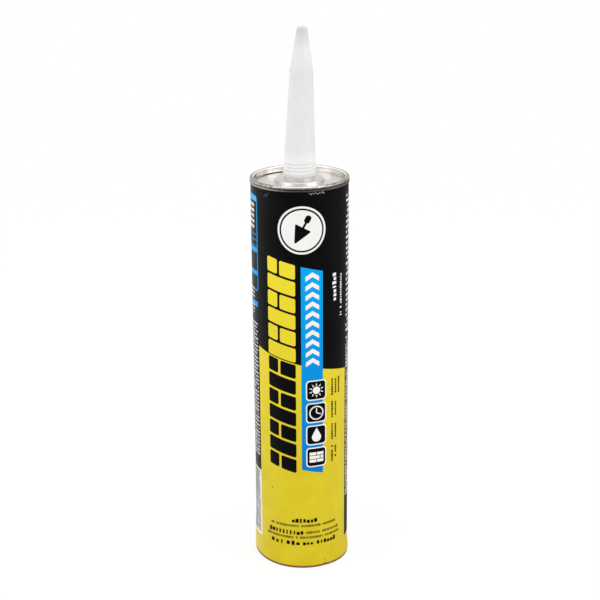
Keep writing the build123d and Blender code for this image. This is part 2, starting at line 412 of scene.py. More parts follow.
facets = 160
strip = circumference / facets
cut_lines = [(line - facets / 2) * strip for line in range(facets)]
half_turn = circumference / 2
cut_lines += [edge - half_turn for edge in (lap_half_width, lap_half_width + lap_ramp)]
cut_lines += [half_turn - edge for edge in (lap_half_width, lap_half_width + lap_drop)]
cut_lines += [dent_middle + dent_width * step / 2 for step in range(-4, 5)]
cut_lines.sort()
print("label cut at", len(cut_lines), "lines, about", round(strip, 2), "mm apart")

# %% [markdown]
# Every finished piece is closed the same way: its mesh goes to metres, gets smooth shading with
# sharp edges where the surface turns by more than a set angle, and rides on the cartridge. The only
# piece that moves apart from it is the plunger, whose CAD solid is kept.

# %% Finishing a piece
piece_count = 0


def finish_piece(name, mesh, slot, material, replaces=(), sharp=35):
    """Makes a piece from a mesh in millimetres, and hides the CAD parts that it replaces."""
    global piece_count
    mesh.transform(Matrix.Scale(MM, 4))
    mesh.materials.clear()
    mesh.materials.append(material)
    mesh.shade_smooth()
    mesh.set_sharp_from_angle(angle=radians(sharp))
    piece = bpy.data.objects.new(name, mesh)
    bpy.context.scene.collection.objects.link(piece)
    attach(piece, "cartridge")
    if replaces:
        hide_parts(*replaces)
    piece_count += 1
    triangles = sum(len(face.vertices) - 2 for face in mesh.polygons)
    print(name, triangles, "triangles")
    return piece


# %% [markdown]
# The label itself is a thin closed sleeve of yellow stock. Its lines run where the print is cut, so
# that print and paper bend alike, and they are closer together near the knocked foot. The paper's
# lower edge is worn back a little, as it is in the photograph.

# %% The label
paper_thickness = 0.15
foot_wear = 0.3
foot_levels = [label_foot + foot_wear + step * 0.5 for step in range(16)]
foot_levels += [foot_levels[-1] + step * 2.0 for step in range(1, 11)]
level_count = 14
upper_levels = [
    foot_levels[-1] + (label_top - foot_levels[-1]) * step / level_count for step in range(1, level_count + 1)
]


def sleeve(lines, levels, outer, inner):
    """A closed sleeve: outer and inner are rules from u and z to points."""
    mesh_builder = bmesh.new()
    walls = []
    for rule in (outer, inner):
        walls.append([[mesh_builder.verts.new(rule(u, z)) for u in lines] for z in levels])
    for wall in walls:
        for low, high in zip(wall, wall[1:]):
            for at in range(len(lines)):
                mesh_builder.faces.new((low[at - 1], low[at], high[at], high[at - 1]))
    for rim in (0, -1):
        first, second = walls[0][rim], walls[1][rim]
        for at in range(len(lines)):
            mesh_builder.faces.new((first[at - 1], first[at], second[at], second[at - 1]))
    bmesh.ops.recalc_face_normals(mesh_builder, faces=mesh_builder.faces)
    mesh = bpy.data.meshes.new("sleeve")
    mesh_builder.to_mesh(mesh)
    mesh_builder.free()
    return mesh


def label_outside(u, z):
    """The printed face of the paper."""
    return label_point(u, z, 0)


def label_inside(u, z):
    """The glued face of the paper, which the lap doesn't lift."""
    return round_tube(u, z, label_radius - paper_thickness + foot_knock(u, z))


label_mesh = sleeve(cut_lines, foot_levels + upper_levels, label_outside, label_inside)
finish_piece("label_paper", label_mesh, "label_print", yellow_ink, replaces=["printed_label"])

# %% [markdown]
# A shape of print starts as a flat outline in the plane of u and z. Rounded corners are arcs with a
# few points each. A colour's shapes are cut along the label's lines and along its levels near the
# foot, given the thickness of a film of ink, and wrapped round the label. Inks that overprint others
# lie one film higher, as they do on press. A film this thin never shows as relief, but its edge is a
# true edge at any distance.

# %% From flat outlines to ink on the label
film_step = 0.02
film_root = 0.03
arc_steps = 5


def corner_arc(before, corner, after, radius):
    """The points of an arc that rounds the corner between its two neighbours."""
    corner = Vector(corner)
    back = (Vector(before) - corner).normalized()
    on = (Vector(after) - corner).normalized()
    half_angle = back.angle(on) / 2
    reach = radius / tan(half_angle)
    centre = corner + (back + on).normalized() * radius / sin(half_angle)
    first, last = corner + back * reach - centre, corner + on * reach - centre
    start = atan2(first.y, first.x)
    sweep = (atan2(last.y, last.x) - start + pi) % (2 * pi) - pi
    angles = [start + sweep * step / arc_steps for step in range(arc_steps + 1)]
    return [(centre.x + radius * cos(angle), centre.y + radius * sin(angle)) for angle in angles]


def rounded(corners, radius):
    """The corners as a closed outline with each corner rounded to the radius."""
    outline = []
    for at, corner in enumerate(corners):
        after = corners[(at + 1) % len(corners)]
        outline += corner_arc(corners[at - 1], corner, after, radius)
    return outline


def disc(centre, radius, steps=48):
    """A round outline."""
    turns = [2 * pi * step / steps for step in range(steps)]
    return [(centre[0] + radius * cos(turn), centre[1] + radius * sin(turn)) for turn in turns]


def oblong(left, right, low, high):
    """A rectangle's outline."""
    return [(left, low), (right, low), (right, high), (left, high)]


def flat_shapes(outlines):
    """A flat mesh with one face for each outline."""
    mesh = bpy.data.meshes.new("flat_shapes")
    points = [(u, z, 0) for outline in outlines for u, z in outline]
    faces = []
    used = 0
    for outline in outlines:
        faces.append(list(range(used, used + len(outline))))
        used += len(outline)
    mesh.from_pydata(points, [], faces)
    return mesh


def cut_across(builder, axis, lines):
    """Cuts a flat mesh along those of the lines that cross it. Axis 0 is u and axis 1 is z."""
    spread = [vert.co[axis] for vert in builder.verts]
    across = Vector((axis == 0, axis == 1, 0))
    for line in lines:
        if min(spread) < line < max(spread):
            everything = builder.verts[:] + builder.edges[:] + builder.faces[:]
            plane = {"plane_co": across * line, "plane_no": across, "dist": 1e-5}
            bmesh.ops.bisect_plane(builder, geom=everything, **plane)


def ink_film(name, ink, level, flats):
    """Flat meshes as one closed film of ink on the label, that many films above the paper."""
    builder = bmesh.new()
    for flat in flats:
        builder.from_mesh(flat)
        bpy.data.meshes.remove(flat)
    bmesh.ops.triangulate(builder, faces=[face for face in builder.faces if len(face.verts) > 4])
    cut_across(builder, 0, cut_lines + [line + circumference for line in cut_lines])
    cut_across(builder, 1, foot_levels)
    for face in builder.faces:
        if face.normal.z < 0:
            face.normal_flip()
    top = builder.faces[:]
    thickness = film_root + film_step * level
    copy = bmesh.ops.duplicate(builder, geom=builder.verts[:] + builder.edges[:] + top)
    twins = copy["vert_map"]
    for vert in {vert for face in top for vert in face.verts}:
        vert.co.z += film_step * level
        twins[vert].co.z -= film_root
    rims = [edge for edge in {edge for face in top for edge in face.edges} if len(edge.link_faces) == 1]
    for edge in rims:
        first, second = edge.link_loops[0].vert, edge.link_loops[0].link_loop_next.vert
        builder.faces.new((second, first, twins[first], twins[second]))
    for face in copy["geom"]:
        if isinstance(face, bmesh.types.BMFace):
            face.normal_flip()
    for vert in builder.verts:
        vert.co = label_point(vert.co.x, vert.co.y, vert.co.z)
    mesh = bpy.data.meshes.new(name)
    builder.to_mesh(mesh)
    builder.free()
    print(name, "film", round(thickness, 3), "mm thick")
    return finish_piece(name, mesh, "label_print", ink)


# %% [markdown]
# The label's fields: black above a slanting line and round the sides and the back, yellow paper left
# bare below it, a white panel for small print low on the left, and a blue band down the front.

# %% Fields of colour
slant = -0.25
field_edge = 120.5
field_left, field_right = -26.4, 29.9
right_field_foot = 12.0
left_field_foot = 54.0
white_foot = 13.6
left_edge = -64.0
back_step = circumference + left_edge
band_left, band_right = 0.3, 12.0
band_foot, band_top = 60.3, 174.4


def slanted(u, z):
    """A height that follows the label's slant, given its height at the front."""
    return z + slant * u


field_rise = [(u, slanted(u, field_edge)) for u in (field_left, field_right)]
far_left = field_left + circumference
black_field = [
    (field_left, label_top),
    field_rise[0],
    field_rise[1],
    (field_right, right_field_foot),
    (back_step, right_field_foot),
    (back_step, left_field_foot),
    (far_left, left_field_foot),
    (far_left, label_top),
]
blue_band = [(u, slanted(u, z)) for u, z in oblong(band_left, band_right, band_foot, band_top)]
white_panel = oblong(left_edge, field_left - 0.2, white_foot, left_field_foot - 0.5)
ink_film("print_black_field", black_ink, 1, [flat_shapes([black_field])])
ink_film("print_blue_band", blue_ink, 2, [flat_shapes([blue_band])])
ink_film("print_white_panel", white_ink, 1, [flat_shapes([white_panel])])

# %% [markdown]
# What repeats on the label is made by Geometry Nodes. The first tree sets a mark out in a row: the
# object's own mesh is the mark, and the tree copies it a number of times at a fixed step. Bricks,
# chevrons and tiles all come from it.

# %% A row of marks
def new_tree(name, inputs):
    """A geometry tree with named inputs, its input node and its output node."""
    tree = bpy.data.node_groups.new(name, "GeometryNodeTree")
    for label, kind in inputs.items():
        tree.interface.new_socket(label, in_out="INPUT", socket_type="NodeSocket" + kind)
    tree.interface.new_socket("Geometry", in_out="OUTPUT", socket_type="NodeSocketGeometry")
    return tree, add_node(tree, "NodeGroupInput"), add_node(tree, "NodeGroupOutput")


def close_tree(tree, instances, ink, output):
    """Ends a tree: instances become real mesh and get their ink."""
    real = add_node(tree, "GeometryNodeRealizeInstances", inputs={0: instances})
    inked = add_node(tree, "GeometryNodeSetMaterial", inputs={"Geometry": real.outputs[0], "Material": ink})
    tree.links.new(inked.outputs[0], output.inputs[0])


def run_tree(tree, mesh, values):
    """Runs a geometry tree on a mesh and gives back the plain mesh that it makes."""
    carrier = bpy.data.objects.new("carrier", mesh)
    bpy.context.scene.collection.objects.link(carrier)
    modifier = carrier.modifiers.new(tree.name, "NODES")
    modifier.node_group = tree
    for item in tree.interface.items_tree:
        if item.item_type == "SOCKET" and item.name in values:
            modifier[item.identifier] = values[item.name]
    evaluated = carrier.evaluated_get(bpy.context.evaluated_depsgraph_get())
    made = bpy.data.meshes.new_from_object(evaluated)
    carrier.modifiers.clear()
    bpy.data.objects.remove(carrier)
    bpy.data.meshes.remove(mesh)
    return made


row_inputs = {"Mark": "Geometry", "Count": "Int", "Step": "Vector", "Ink": "Material"}
row_tree, row_in, row_out = new_tree("row_of_marks", row_inputs)
line_values = {"Count": row_in.outputs["Count"], "Offset": row_in.outputs["Step"]}
row_line = add_node(row_tree, "GeometryNodeMeshLine", {"mode": "OFFSET"}, line_values)
row_values = {"Points": row_line.outputs[0], "Instance": row_in.outputs["Mark"]}
row_copies = add_node(row_tree, "GeometryNodeInstanceOnPoints", inputs=row_values)
close_tree(row_tree, row_copies.outputs[0], row_in.outputs["Ink"], row_out)


def row_of_marks(outlines, count, step, ink):
    """The outlines, repeated count times along a step of u and z."""
    values = {"Count": count, "Step": (step[0], step[1], 0.0), "Ink": ink}
    return run_tree(row_tree, flat_shapes(outlines), values)


print("row of marks takes", list(row_inputs))

# %% [markdown]
# A wall of slanting bricks runs up the front beside the blue band, yellow on the black field and
# black on the yellow one, with a joint on the line between the fields. It is laid in running bond: a
# course of one long brick, then a course of two short ones.

# %% The brick wall
wall_left, wall_right = -18.2, -2.6
course_pitch = 9.1
mortar = 1.25
brick_corner = 0.9
courses_above, courses_below = 6, 7


def brick(left, right, course):
    """A slanting brick of the given course, counted up from the line between the fields."""
    low = field_edge + course * course_pitch + mortar / 2
    corners = oblong(left, right, low, low + course_pitch - mortar)
    return rounded([(u, slanted(u, z)) for u, z in corners], brick_corner)


def course_bricks(course):
    """Even courses are one long brick, odd ones two short ones."""
    if course % 2 == 0:
        return [brick(wall_left, wall_right, course)]
    split = wall_left + (wall_right - wall_left) * 0.42
    return [brick(wall_left, split - mortar / 2, course), brick(split + mortar / 2, wall_right, course)]


def wall(first, count, ink):
    """Courses up or down from the line between the fields, as two interleaved rows of marks."""
    rows = []
    for offset in (0, 1):
        start = first + offset if count > 0 else first - offset
        repeats = (abs(count) - offset + 1) // 2
        step = 2 * course_pitch if count > 0 else -2 * course_pitch
        rows.append(row_of_marks(course_bricks(start), repeats, (0, step), ink))
    return rows


ink_film("print_yellow_bricks", yellow_ink, 2, wall(0, courses_above, yellow_ink))
ink_film("print_black_bricks", black_ink, 1, wall(-1, -courses_below, black_ink))

# %% [markdown]
# The blue band carries a row of white chevrons, which point up to the nozzle, and the top of the
# front a white disc with a black ring and a trowel.

# %% Chevrons and the round badge
chevron_left, chevron_right = 2.7, 9.9
chevron_pitch = 5.2
chevron_bar = 2.5
chevron_rise = 2.4
chevron_count = 10
chevron_start = 119.5
badge_middle = (1.0, 193.5)
badge_radius = 12.6
badge_rim, badge_ring = 1.1, 0.9


def chevron(low):
    """One chevron, its lowest points at low."""
    centre = (chevron_left + chevron_right) / 2
    under = [(chevron_left, low), (centre, low + chevron_rise), (chevron_right, low)]
    return under + [(u, z + chevron_bar) for u, z in reversed(under)]


def tilted(outline, centre, degrees):
    """The outline, drawn round 0, turned and moved to a centre."""
    c, s = cos(radians(degrees)), sin(radians(degrees))
    return [(centre[0] + u * c - z * s, centre[1] + u * s + z * c) for u, z in outline]


trowel_blade = rounded([(0, -8.2), (4.6, 1.6), (-4.6, 1.6)], 0.5)
trowel_neck = oblong(-0.55, 0.55, 1.5, 4.6)
trowel_grip = rounded(oblong(-1.5, 1.5, 4.4, 8.6), 1.2)
trowel = [tilted(part, badge_middle, -28) for part in (trowel_blade, trowel_neck, trowel_grip)]
chevrons = row_of_marks([chevron(chevron_start)], chevron_count, (0, chevron_pitch), white_ink)
ink_film("print_white_chevrons", white_ink, 3, [chevrons])
ink_film("print_white_badge", white_ink, 2, [flat_shapes([disc(badge_middle, badge_radius)])])
ring_radius = badge_radius - badge_rim
ink_film("print_badge_ring", black_ink, 3, [flat_shapes([disc(badge_middle, ring_radius)])])
ink_film("print_badge_middle", white_ink, 4, [flat_shapes([disc(badge_middle, ring_radius - badge_ring)])])
ink_film("print_trowel", black_ink, 5, [flat_shapes(trowel)])

# %% [markdown]
# Four rounded tiles over the lower end of the band show what such an adhesive is for, in plain
# pictures: a brick wall, a drop, a clock and the sun.

# %% Tiles with pictures
tile_left, tile_size, tile_pitch, tile_count = 2.6, 11.4, 12.9, 4
tile_foot = 61.5
tile_border = 0.65
tile_corner = 1.9
brick_pitch, brick_height, brick_reach, brick_joint = 2.1, 1.7, 3.9, 0.4
drop_radius, drop_sink, drop_point = 2.6, 1.2, 4.4
clock_radius, clock_rim = 4.0, 0.7
sun_radius, ray_count = 2.1, 10


def tile(margin):
    """The lowest tile's outline, drawn in by a margin."""
    near, far = margin, tile_size - margin
    corners = oblong(tile_left + near, tile_left + far, tile_foot + near, tile_foot + far)
    return rounded(corners, tile_corner - margin * 0.6)


def tile_middle(number):
    """The middle of a tile, counted up from 0."""
    return (tile_left + tile_size / 2, tile_foot + tile_size / 2 + number * tile_pitch)


def small_wall(centre):
    """Three courses of small bricks."""
    bricks = []
    for course, split in enumerate((0.0, 2.0, 0.0)):
        low = centre[1] - 3.0 + course * brick_pitch
        for left, right in ((-brick_reach, split - brick_joint / 2), (split + brick_joint / 2, brick_reach)):
            bricks.append(oblong(centre[0] + left, centre[0] + right, low, low + brick_height))
    return bricks


def drop(centre):
    """A drop: a round foot and a point on top."""
    outline = [(0.0, drop_point)]
    for step in range(25):
        angle = radians(30 - 240 * step / 24)
        outline.append((drop_radius * cos(angle), drop_radius * sin(angle) - drop_sink))
    return [tilted(outline, centre, 0)]


def clock(centre):
    """A clock's two hands, for a ring that is printed round them."""
    hand = oblong(-0.3, 0.3, 0, 2.6)
    return [tilted(hand, centre, 0), tilted(hand, centre, -110)]


def sun(centre):
    """A disc with rays all round."""
    ray = [(-0.42, 2.7), (0.42, 2.7), (0.0, 4.3)]
    rays = [tilted(ray, centre, 360 * turn / ray_count) for turn in range(ray_count)]
    return [disc(centre, sun_radius, 32)] + rays


tiles = row_of_marks([tile(0)], tile_count, (0, tile_pitch), white_ink)
tile_faces = row_of_marks([tile(tile_border)], tile_count, (0, tile_pitch), black_ink)
ink_film("print_tile_borders", white_ink, 3, [tiles])
ink_film("print_tile_faces", black_ink, 4, [tile_faces])
pictures = small_wall(tile_middle(0)) + drop(tile_middle(1)) + sun(tile_middle(3))
pictures.append(disc(tile_middle(2), clock_radius))
ink_film("print_pictures", white_ink, 5, [flat_shapes(pictures)])
clock_face = disc(tile_middle(2), clock_radius - clock_rim)
ink_film("print_clock_face", black_ink, 6, [flat_shapes([clock_face])])
ink_film("print_clock_hands", white_ink, 7, [flat_shapes(clock(tile_middle(2)))])

# %% [markdown]
# Small print is not lettered here. From a step away it reads as rows of little marks, with gaps
# between words, so a second geometry tree sets out a grid of places, drops some at random, and puts
# a mark of random width on each that is left. The object's mesh holds the marks to pick from: a plain
# dash for fine rows, and for bold rows a full, a low and a narrow block. No mark is a letter. The seed
# is fixed, so each run gives the same rows.

# %% Rows of small print
text_inputs = {
    "Marks": "Geometry",
    "Width": "Float",
    "Height": "Float",
    "Letter Pitch": "Float",
    "Row Pitch": "Float",
    "Letter Height": "Float",
    "Fill": "Float",
    "Seed": "Int",
    "Ink": "Material",
}
text_tree, text_in, text_out = new_tree("rows_of_small_print", text_inputs)
asked = text_in.outputs

counts = []
for length, pitch in (("Width", "Letter Pitch"), ("Height", "Row Pitch")):
    count = asked[length]
    for operation, other in (("DIVIDE", asked[pitch]), ("FLOOR", 0.0), ("ADD", 1.0)):
        both = {0: count, 1: other}
        count = add_node(text_tree, "ShaderNodeMath", {"operation": operation}, both).outputs[0]
    counts.append(count)
random_shares = []
for low, high, seed_step in ((0.0, 1.0, 0), (0.6, 0.92, 11), (0.75, 1.0, 23)):
    seed = {0: asked["Seed"], 1: seed_step}
    seed = add_node(text_tree, "ShaderNodeMath", {"operation": "ADD"}, seed).outputs[0]
    share = {2: low, 3: high, "Seed": seed}
    share = add_node(text_tree, "FunctionNodeRandomValue", {"data_type": "FLOAT"}, share)
    random_shares.append(share.outputs[1])
stays, width_share, height_share = random_shares

grid_values = {
    "Size X": asked["Width"],
    "Size Y": asked["Height"],
    "Vertices X": counts[0],
    "Vertices Y": counts[1],
}
places = add_node(text_tree, "GeometryNodeMeshGrid", inputs=grid_values)
gap = {0: stays, 1: asked["Fill"]}
gap = add_node(text_tree, "ShaderNodeMath", {"operation": "GREATER_THAN"}, gap).outputs[0]
kept = add_node(text_tree, "GeometryNodeDeleteGeometry", inputs={0: places.outputs[0], 1: gap})
island = add_node(text_tree, "GeometryNodeInputMeshIsland").outputs["Island Index"]
marks = {"Geometry": asked["Marks"], "Group ID": island}
marks = add_node(text_tree, "GeometryNodeSplitToInstances", {"domain": "FACE"}, marks)
any_mark = {4: 0, 5: 99, "Seed": asked["Seed"]}
choice = add_node(text_tree, "FunctionNodeRandomValue", {"data_type": "INT"}, any_mark)
letter_size = {2: 1.0}
for at, (full, share) in enumerate((("Letter Pitch", width_share), ("Letter Height", height_share))):
    both = {0: asked[full], 1: share}
    letter_size[at] = add_node(text_tree, "ShaderNodeMath", {"operation": "MULTIPLY"}, both).outputs[0]
letter_size = add_node(text_tree, "ShaderNodeCombineXYZ", inputs=letter_size)
letters = {
    "Points": kept.outputs[0],
    "Instance": marks.outputs["Instances"],
    "Pick Instance": True,
    "Instance Index": choice.outputs[2],
    "Scale": letter_size.outputs[0],
}
letters = add_node(text_tree, "GeometryNodeInstanceOnPoints", inputs=letters)
close_tree(text_tree, letters.outputs[0], asked["Ink"], text_out)
print("small print takes", list(text_inputs))

# %% [markdown]
# The tree wants a box to fill and the sizes of its marks, so one function hands them over. Print that
# reads up the tube is set out flat first and turned after. The seed comes from the box's place, so
# that the blocks differ.

# %% Setting a block of small print
dash = [oblong(-0.5, 0.5, -0.5, 0.5)]
low_block = oblong(-0.5, 0.5, -0.5, 0.2)
narrow_block = oblong(-0.28, 0.28, -0.5, 0.5)
bold_marks = dash + [low_block, narrow_block]


def small_print(
    box, row_pitch, letter_height, letter_pitch, ink, fill=0.84, upright=False, marks=dash
):
    """Rows of marks that fill a box of u and z. Upright rows read up the tube."""
    left, right, low, high = box
    wide, tall = (high - low, right - left) if upright else (right - left, high - low)
    values = {
        "Width": wide - letter_pitch,
        "Height": max(0.0, tall - letter_height),
        "Letter Pitch": letter_pitch,
        "Row Pitch": row_pitch,
        "Letter Height": letter_height,
        "Fill": fill,
        "Seed": int(left * 7 + low * 13) % 997,
        "Ink": ink,
    }
    mesh = run_tree(text_tree, flat_shapes(marks), values)
    if upright:
        mesh.transform(Matrix.Rotation(radians(90), 4, "Z"))
    mesh.transform(Matrix.Translation(((left + right) / 2, (low + high) / 2, 0)))
    return mesh


print("marks to pick from:", len(dash), "for fine rows,", len(bold_marks), "for bold ones")

# %% [markdown]
# Where the small print goes: bold rows down the right side, fine rows down the left, a white panel
# with dark rows below them, captions beside the tiles, and a few lines at the foot of the front.

# %% The small print
right_bold = [(30.8, 66.0, low, low + 24.0) for low in (184.0, 158.5, 133.0)]
right_fine = [(30.8, 66.0, low, low + 17.5) for low in (112.5, 93.5, 74.5, 55.5, 36.5)]
left_rows = [(-66.0, -27.6, low, low + 18.0) for low in (121.0, 101.5, 82.0, 62.5)]
white_rows = [small_print(box, 2.7, 1.6, 1.7, white_ink, 0.88) for box in right_bold]
white_rows += [small_print(box, 2.0, 1.05, 1.15, white_ink, 0.86) for box in right_fine]
white_rows += [small_print(box, 1.9, 0.95, 1.1, white_ink, 0.86) for box in left_rows]
for low in (143.5, 152.5):
    white_rows.append(small_print((-66.0, -31.0, low, low + 5.4), 1.9, 1.0, 1.3, white_ink))
white_rows.append(small_print((-66.0, -29.5, 190.5, 204.0), 2.9, 1.9, 1.9, white_ink, 0.9))
front_bold = {"upright": True, "marks": bold_marks}
white_rows.append(small_print((17.2, 21.6, 153.5, 169.0), 4.0, 3.0, 2.1, white_ink, 1.0, **front_bold))
white_rows.append(small_print((23.3, 26.0, 144.0, 167.5), 3.0, 1.6, 1.35, white_ink, 0.9, **front_bold))
ink_film("print_white_small_print", white_ink, 5, white_rows)

dark_rows = [small_print((-63.0, -27.8, 15.4, 52.5), 1.9, 1.1, 1.2, black_ink, 0.92)]
for number, columns in enumerate((2, 2, 2, 3)):
    middle_z = tile_middle(number)[1]
    for column in range(columns):
        left = 17.3 + column * 2.5
        reach = 4.8 - 0.7 * (column % 2)
        caption = (left, left + 1.3, middle_z - reach, middle_z + reach)
        dark_rows.append(small_print(caption, 2.0, 1.2, 1.25, black_ink, 0.97, upright=True))
bold_rows = [(-5.6, 8.6, 27.6, 31.2), (-19.5, 1.0, 20.4, 23.6)]
bold_words = ((-18.0, -10.4), (-8.6, -1.2), (0.4, 6.4), (8.0, 20.4))
bold_rows += [(left, right, 13.8, 17.4) for left, right in bold_words]
dark_rows += [small_print(box, 4.0, 2.6, 1.95, black_ink, 1.0, marks=bold_marks) for box in bold_rows]
ink_film("print_dark_small_print", black_ink, 5, dark_rows)

olive_rows = [small_print((-18.2, 20.5, 25.2, 27.2), 3.0, 1.5, 1.1, olive_ink, 0.92)]
olive_rows.append(small_print((2.4, 22.6, 21.0, 23.0), 3.0, 1.5, 1.1, olive_ink, 0.92))
olive_rows.append(small_print((-21.0, 23.0, 18.1, 20.0), 3.0, 1.5, 1.1, olive_ink, 0.92))
ink_film("print_olive_small_print", olive_ink, 5, olive_rows)

# %% [markdown]
# High on the left a thin blue frame holds blue bars and rules. The frame is a blue rounded shape
# with a black one printed over it, which leaves an even line all round.

# %% The framed panel on the left
panel = (-70.0, -26.2, 157.0, 208.6)
panel_line = 0.7
panel_inside = [edge + panel_line * way for edge, way in zip(panel, (1, -1, 1, -1))]
ink_film("print_blue_frame", blue_ink, 2, [flat_shapes([rounded(oblong(*panel), 2.2)])])
ink_film("print_frame_inside", black_ink, 3, [flat_shapes([rounded(oblong(*panel_inside), 1.6)])])
bar_right = panel_inside[1]
bars = [oblong(-69.0, bar_right, low, low + 2.6) for low in (178.0, 165.6)]
bars += [oblong(-69.0, bar_right, low, low + 0.35) for low in (187.5, 184.5, 181.4)]
bars.append(oblong(-66.0, -27.0, 148.2, 151.1))
ink_film("print_blue_bars", blue_ink, 4, [flat_shapes(bars)])
ink_film("print_pale_blue_bar", pale_blue_ink, 4, [flat_shapes([oblong(-69.0, bar_right, 205.4, 207.9)])])

# %% [markdown]
# The tinplate end is one stamped sheet, tinned steel 0.22 mm thick, rolled over the tube's edge. It
# could be bent from a disc by simulation, but its section is known, so the sheet's middle line is
# followed from the hidden hook, over the seam, down into the groove and up over the boss to the neck
# round the nozzle. The line gets its thickness on both sides and is turned about the axis. Rolling
# leaves the seam a little wavy, which is what breaks up its reflections.

# %% Turned pieces
def rounded_path(corners, radii):
    """An open path with each inner corner rounded by its own radius."""
    path = [corners[0]]
    for at, radius in enumerate(radii, start=1):
        path += corner_arc(corners[at - 1], corners[at], corners[at + 1], radius)
    return [Vector(point) for point in path + [corners[-1]]]


def sheet_section(path, thickness):
    """The closed section of a sheet whose middle follows the path."""
    sides = ([], [])
    for at, point in enumerate(path):
        before = path[max(at - 1, 0)]
        after = path[min(at + 1, len(path) - 1)]
        along = (after - before).normalized()
        across = Vector((-along.y, along.x)) * thickness / 2
        sides[0].append(point + across)
        sides[1].append(point - across)
    return sides[0] + sides[1][::-1]


def turned(section, steps, shape=None):
    """A closed section of radius and height, turned about the axis. Shape may move its points."""
    builder = bmesh.new()
    rings = []
    for step in range(steps):
        angle = 2 * pi * step / steps
        ring = []
        for radius, height in section:
            if shape is not None:
                radius, height = shape(radius, height, angle)
            ring.append(builder.verts.new((radius * cos(angle), radius * sin(angle), height)))
        rings.append(ring)
    count = len(section)
    for step in range(steps):
        here, back = rings[step], rings[step - 1]
        for at in range(count):
            builder.faces.new((back[at - 1], here[at - 1], here[at], back[at]))
    bmesh.ops.remove_doubles(builder, verts=builder.verts, dist=1e-5)
    bmesh.ops.dissolve_degenerate(builder, dist=1e-6, edges=builder.edges)
    bmesh.ops.recalc_face_normals(builder, faces=builder.faces)
    mesh = bpy.data.meshes.new("turned")
    builder.to_mesh(mesh)
    builder.free()
    return mesh


print("turned pieces have their radius and height in millimetres")

# %% [markdown]
# The sizes of the end come first, because its finish changes from place to place along the sheet.
# The tube's bore is the adhesive's width and a thin film of room round it.

# %% The end's sizes
paste_room = 0.1
sheet = 0.22
seam_height = 3.0
seam_fit = 0.02
fold_gap = 0.06
countersink = 4.4
groove_inset, groove_half_width = 0.75, 0.3
panel_rise, panel_ramp = 1.15, 0.4
boss_radius, boss_draft, boss_height, boss_crown = 12.55, 0.3, 2.2, 0.4
bore_radius = corners_mm("adhesive_fill")[1].x + paste_room
neck_radius = 8.17

neck_top = corners_mm("metal_end")[1].z
skin_line = seam_radius - sheet / 2
hook_line = skin_line - sheet - fold_gap
chuck_line = bore_radius - seam_fit - sheet / 2
seam_foot = body_height - seam_height
top_line = body_height - sheet / 2
groove_line = body_height - countersink - sheet / 2
groove_radius = chuck_line - groove_inset
panel_height = groove_line + panel_rise
boss_line = panel_height + boss_height
print("seam from", round(seam_foot, 2), "panel at", round(panel_height, 2), "boss at", round(boss_line, 2))

# %% [markdown]
# Tinplate is steel with a bright skin of tin. It mirrors the room softly, with fine marks that run
# round it from the rolls. Real ones are finer than a render shows, and are drawn 0.18 mm apart. Where
# the sheet was worked hard its skin is rubbed thin. The top of the seam is a mottled grey brown, with
# a painted highlight at the front, and its shoulder a mottled beige that is a painted reflection of
# the bright room. Below that its face is a dull dark grey, a painted dark reflection, with one paler
# line that is a painted highlight and a dark lower edge that is painted shade where the seam curls
# under, with its dark cut edge. The foot of the chuck wall by the groove is painted near black, most
# at the back on the left: painted shade and dark reflection where the groove's walls see only each
# other. The chuck wall is painted paler, as a painted reflection of the bright room, and the neck
# round the nozzle is painted the brightest place, as painted light against the shade under the
# nozzle. The boss, drawn deepest, is a little duller than the flat panel. So the material looks at
# how far from the axis and how high a place is.

# %% Tinplate
def from_axis(tree, place):
    """The parts of a place, and how far it is from the cartridge's axis."""
    parts = add_node(tree, "ShaderNodeSeparateXYZ", inputs={0: place}).outputs
    flat = add_node(tree, "ShaderNodeCombineXYZ", inputs={0: parts[0], 1: parts[1]}).outputs[0]
    distance = add_node(tree, "ShaderNodeVectorMath", {"operation": "LENGTH"}, {0: flat})
    return parts, distance.outputs["Value"]


def inside(value, low, high, soft):
    """Two limits for a layer that lies between two points, with soft edges."""
    return (value, low - soft, low), (value, high, high + soft, 1.0, 0.0)


